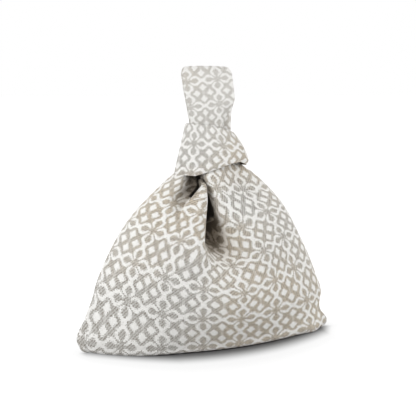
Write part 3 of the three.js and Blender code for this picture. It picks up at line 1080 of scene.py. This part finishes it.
# Lining: a plain weave of two close tones.
LINING_THREADS = 60.0
LINING_DARK = linear(104, 97, 88)
LINING_PALE = linear(118, 111, 101)
LINING_CONTRAST = 0.2
LINING_RELIEF = (0.3, 0.0003)


def thread_middle(n, value):
    """Middle of the thread that this place lies on."""
    return n.over(n.plus(n.math("FLOOR", n.times(value, THREADS)), 0.5), THREADS)


def trellis(n, warp_at, weft_at, fray):
    """1 on the cream figure and 0 on the grey ground."""
    x, y = n.math("PINGPONG", warp_at, 0.5), n.math("PINGPONG", weft_at, 0.5)
    far, near = n.most(x, y), n.math("MINIMUM", x, y)
    off_line = n.plus(n.apart(near, n.curve(far, PETAL_LINE)), fray)
    petal = n.edge(off_line, n.curve(far, PETAL_HALF), PATTERN_SOFT)

    def diamond(middle_x, middle_y, size):
        away = n.plus(n.over(n.apart(x, middle_x), size[0]), n.over(n.apart(y, middle_y), size[1]))
        return n.edge(n.plus(away, n.times(fray, DIAMOND_FRAY)), 1.0, DIAMOND_SOFT)

    tall = diamond(0.5, DIAMOND_PLACE, TALL_DIAMOND)
    wide = diamond(DIAMOND_PLACE, 0.5, WIDE_DIAMOND)
    line = n.edge(n.apart(x, 0.5), LINK_HALF, LINK_SOFT)
    link_line = n.times(n.times(line, n.math("GREATER_THAN", y, DIAMOND_PLACE)), LINK_AMOUNT)
    return n.most(n.most(petal, n.most(tall, wide)), link_line)


def grey_drift_and_shade_cast(n, u, v):
    """The ground's grey, between the cool and the warm yarn, with painted shade: a warm cast in the valley
    below the slit.
    """
    place = n.place()
    drift = n.noise(place, DRIFT_SCALE, DRIFT_DETAIL)
    streak = n.noise(n.join(n.times(u, STREAK_CELLS[0]), n.times(v, STREAK_CELLS[1])), 1.0, 1.0)
    warm = n.plus(n.times(drift, DRIFT_AMOUNT), n.times(streak, STREAK_AMOUNT))
    x, _, z = n.split(place)
    # The zone in the valley below the slit paints the warm cast of the shade there.
    for zone_x, zone_z, wide, tall, amount in WARM_TONE_AND_SHADE_CAST_ZONES:
        side, rise = n.over(n.minus(x, zone_x), wide), n.over(n.minus(z, zone_z), tall)
        away = n.plus(n.times(side, side), n.times(rise, rise))
        warm = n.plus(warm, n.times(n.math("EXPONENT", n.times(away, -1.0)), amount))
    warm = n.math("MINIMUM", n.most(n.minus(warm, WARM_START), 0.0), 1.0)
    return n.blend(warm, COOL_GREY, WARM_GREY_AND_SHADE_CAST)


def patterned_cloth():
    material = bpy.data.materials.new("patterned cloth")
    n = Nodes(material)
    cells = n.uv("pattern")
    u, v, _ = n.split(cells)
    slub = n.noise(cells, SLUB_SCALE, SLUB_DETAIL)
    uneven = n.minus(slub, 0.5)
    warp_at, weft_at = thread_middle(n, u), thread_middle(n, v)
    white_noise = n.add("ShaderNodeTexWhiteNoise", noise_dimensions="2D")
    speck = n.fill(white_noise, Vector=n.join(warp_at, weft_at)).outputs["Value"]
    grain = n.minus(speck, 0.5)
    fray = n.plus(n.times(uneven, FRAY), n.times(grain, GRAIN_FRAY))
    figure = trellis(n, warp_at, weft_at, fray)

    slant = n.plus(n.times(u, TWILL[0]), n.times(v, TWILL[1]))
    diagonal = n.wave(n.plus(slant, n.times(slub, TWILL_WANDER)), 1.0)
    weave = n.plus(n.times(diagonal, RIBS), n.times(uneven, SLUBS))
    weave = n.plus(weave, n.times(grain, GRAIN))

    ground = n.blend(n.plus(n.times(weave, SHADE_GAIN), SHADE_START), grey_drift_and_shade_cast(n, u, v), DEEP_GREY)
    height_above = n.split(n.place())[2]
    paler = n.minus(1.0, n.edge(height_above, (PALE_FROM + PALE_TO) / 2, (PALE_TO - PALE_FROM) / 2))
    ground = n.blend(n.times(paler, PALE_AMOUNT), ground, PALE_GREY)
    cream = n.blend(n.times(speck, CREAM_GRAIN), CREAM, SHADED_CREAM)
    # Painted shade: the cloth darkens with how far into a fold it lies, and most at the fold's floor.
    fold_shade_share, fold_floor_shade_share, _ = n.split(n.uv("fold"))
    base = n.blend(figure, n.blend(fold_shade_share, ground, PAINTED_FOLD_SHADE_GREY), n.blend(fold_shade_share, cream, PAINTED_FOLD_SHADE_CREAM))
    base = n.blend(n.times(fold_floor_shade_share, PAINTED_FOLD_FLOOR_AMOUNT), base, PAINTED_FOLD_FLOOR_SHADE)
    threads = n.plus(weave, n.wave(v, THREADS))
    height = n.plus(n.times(figure, FIGURE_RELIEF), n.times(threads, WEAVE_RELIEF))
    n.fill(n.shader, Base_Color=base, Normal=n.relief(height, *CLOTH_RELIEF), Roughness=0.92)
    n.fill(n.shader, Specular_IOR_Level=0.2, Sheen_Weight=0.12, Sheen_Roughness=0.6)
    return material


def lining_cloth():
    material = bpy.data.materials.new("lining cloth")
    n = Nodes(material)
    u, v, _ = n.split(n.uv("pattern"))
    weave = n.times(n.wave(u, LINING_THREADS), n.wave(v, LINING_THREADS))
    tone = n.plus(n.times(weave, LINING_CONTRAST), 0.5)
    base = n.blend(tone, LINING_DARK, LINING_PALE)
    n.fill(n.shader, Base_Color=base, Normal=n.relief(weave, *LINING_RELIEF), Roughness=0.9)
    return material


# What each piece stands for: its node, slot and finish, its cut size, how it is held and what it rests on.
OUTER = ("patterned_cloth", patterned_cloth())
INNER = ("lining_cloth", lining_cloth())
for piece, node, (slot, finish), flat, area, held, rests in (
    (front_panel, "front_panel", OUTER, PANEL_FLAT, PANEL_AREA, "gathered", ["short_strap"]),
    (back_panel, "back_panel", OUTER, PANEL_FLAT, PANEL_AREA, "gathered", ["short_strap"]),
    (front_lining, "front_lining", INNER, LINING_FLAT, LINING_AREA, "gathered", ["front_panel"]),
    (back_lining, "back_lining", INNER, LINING_FLAT, LINING_AREA, "gathered", ["back_panel"]),
    (collar, "short_strap", OUTER, COLLAR_FLAT, None, "folded", ["front_panel", "back_panel"]),
    (wrist_loop, "long_strap", OUTER, LOOP_FLAT, None, "folded", ["short_strap"]),
):
    piece.data.materials.append(finish)
    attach(piece, "root")
    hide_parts(node)


# Studio, in metres: white floor and surround, a soft box at each side, a wide light from above and behind.
WHITE = (1.0, 1.0, 1.0, 1.0)
FLOOR_REACH = 20.0
FLOOR_SEEN = 0.15
FLOOR_BOUNCE = 0.45
SKY = 0.26
KEY = 3.45
KEY_PLACE = (-0.58, -0.36, 0.40)
KEY_SIZE = 0.3
FILL = 3.0
FILL_PLACE = (0.58, -0.38, 0.38)
FILL_SIZE = 0.4
LAMPS_AIM = (0.0, 0.0, 0.14)
TOP = 1.7
TOP_FROM = (0.1, 0.8, 0.9)
TOP_ANGLE = 50.0

# Painted shadow on the floor: seen straight on, the floor glows white away from the bag's footprint,
# which paints the falloff of the bag's shadow: from a distance, to a distance, by an amount.
FLOOR_GLOW_PAINTED_SHADOW = ((0.0, 0.032, 0.80), (0.02, 0.10, 0.20))
FOOTPRINT = (0.135, 0.040)
PAST_END = 1.6
PAINTED_LIT_END = 0.05
PAINTED_LIT_SLOPE = 0.18


def seen_directly(n):
    """1 for what the camera sees, straight or in a mirror or glass, and 0 for light that bounces."""
    rays = n.add("ShaderNodeLightPath").outputs
    return n.most(n.most(rays["Is Camera Ray"], rays["Is Glossy Ray"]), rays["Is Transmission Ray"])


def painted_shadow_distance(n):
    """Distance from the bag's footprint, for the floor's painted shadow. It counts for more past the
    footprint's ends, and on the left, which paints the floor lighter on the key lamp's side.
    """
    x, y, _ = n.split(n.place())
    share = n.over(x, FOOTPRINT[0])
    half = n.times(n.most(n.minus(1.0, n.times(share, share)), 0.0), FOOTPRINT[1])
    past_end = n.most(n.minus(n.math("ABSOLUTE", x), FOOTPRINT[0]), 0.0)
    painted_lit = n.most(n.minus(n.times(x, -1.0), PAINTED_LIT_END), 0.0)
    ends = n.plus(n.times(past_end, PAST_END), n.times(painted_lit, PAINTED_LIT_SLOPE))
    return n.plus(n.minus(n.math("ABSOLUTE", y), half), ends)


def studio_floor():
    mesh = bpy.data.meshes.new("floor")
    signs = ((-1, -1), (1, -1), (1, 1), (-1, 1))
    mesh.from_pydata([(x * FLOOR_REACH, y * FLOOR_REACH, 0.0) for x, y in signs], [], [(0, 1, 2, 3)])
    floor = bpy.data.objects.new("floor", mesh)
    link(floor)
    material = bpy.data.materials.new("white floor")
    n = Nodes(material)
    seen = seen_directly(n)
    tones = [(tone, tone, tone, 1.0) for tone in (FLOOR_BOUNCE, FLOOR_SEEN)]
    away = painted_shadow_distance(n)
    # Painted shadow: seen straight on, the dark floor glows whiter with distance from the footprint.
    painted_glow = 0.0
    for start, end, amount in FLOOR_GLOW_PAINTED_SHADOW:
        painted_glow = n.plus(painted_glow, n.spread(away, start, end, 0.0, amount))
    n.fill(n.shader, Base_Color=n.blend(seen, *tones), Roughness=1.0, Specular_IOR_Level=0.0)
    n.fill(n.shader, Emission_Color=WHITE, Emission_Strength=n.times(seen, painted_glow))
    mesh.materials.append(material)


def studio_world():
    world = bpy.data.worlds.new("studio")
    bpy.context.scene.world = world
    n = Nodes(world, "Background")
    level = n.fill(n.add("ShaderNodeMapRange"), Value=seen_directly(n), To_Min=SKY, To_Max=1.0)
    n.fill(n.shader, Color=WHITE, Strength=level.outputs[0])


def looking(direction):
    """Rotation of a lamp or a camera that looks along this direction."""
    return direction.to_track_quat("-Z", "Y").to_euler()


def studio_light(name, kind, direction, place=(0.0, 0.0, 0.0), **settings):
    data = bpy.data.lights.new(name, kind)
    for key, value in settings.items():
        setattr(data, key, value)
    light = bpy.data.objects.new(name, data)
    light.location = place
    light.rotation_euler = looking(direction)
    link(light)


def photo_camera():
    azimuth, elevation = math.radians(CAMERA_AZIMUTH), math.radians(CAMERA_ELEVATION)
    level = math.cos(elevation)
    toward = Vector((math.sin(azimuth) * level, -math.cos(azimuth) * level, math.sin(elevation)))
    data = bpy.data.cameras.new("camera")
    data.sensor_width = SENSOR
    data.lens = SENSOR * (CAMERA_DISTANCE / CAMERA_SCALE) / FRAME_PIXELS
    camera = bpy.data.objects.new("camera", data)
    target = Vector((0.0, 0.0, CAMERA_TARGET / MILLIMETRES))
    camera.location = target + toward * (CAMERA_DISTANCE / MILLIMETRES)
    camera.rotation_euler = looking(-toward)
    link(camera)
    bpy.context.scene.camera = camera


studio_floor()
studio_world()
for name, place, size, power in (("key", KEY_PLACE, KEY_SIZE, KEY), ("fill", FILL_PLACE, FILL_SIZE, FILL)):
    studio_light(name, "AREA", Vector(LAMPS_AIM) - Vector(place), place, energy=power, size=size)
studio_light("top", "SUN", -Vector(TOP_FROM), energy=TOP, angle=math.radians(TOP_ANGLE))
photo_camera()
bpy.context.scene.view_settings.view_transform = "Standard"

bpy.context.view_layer.update()
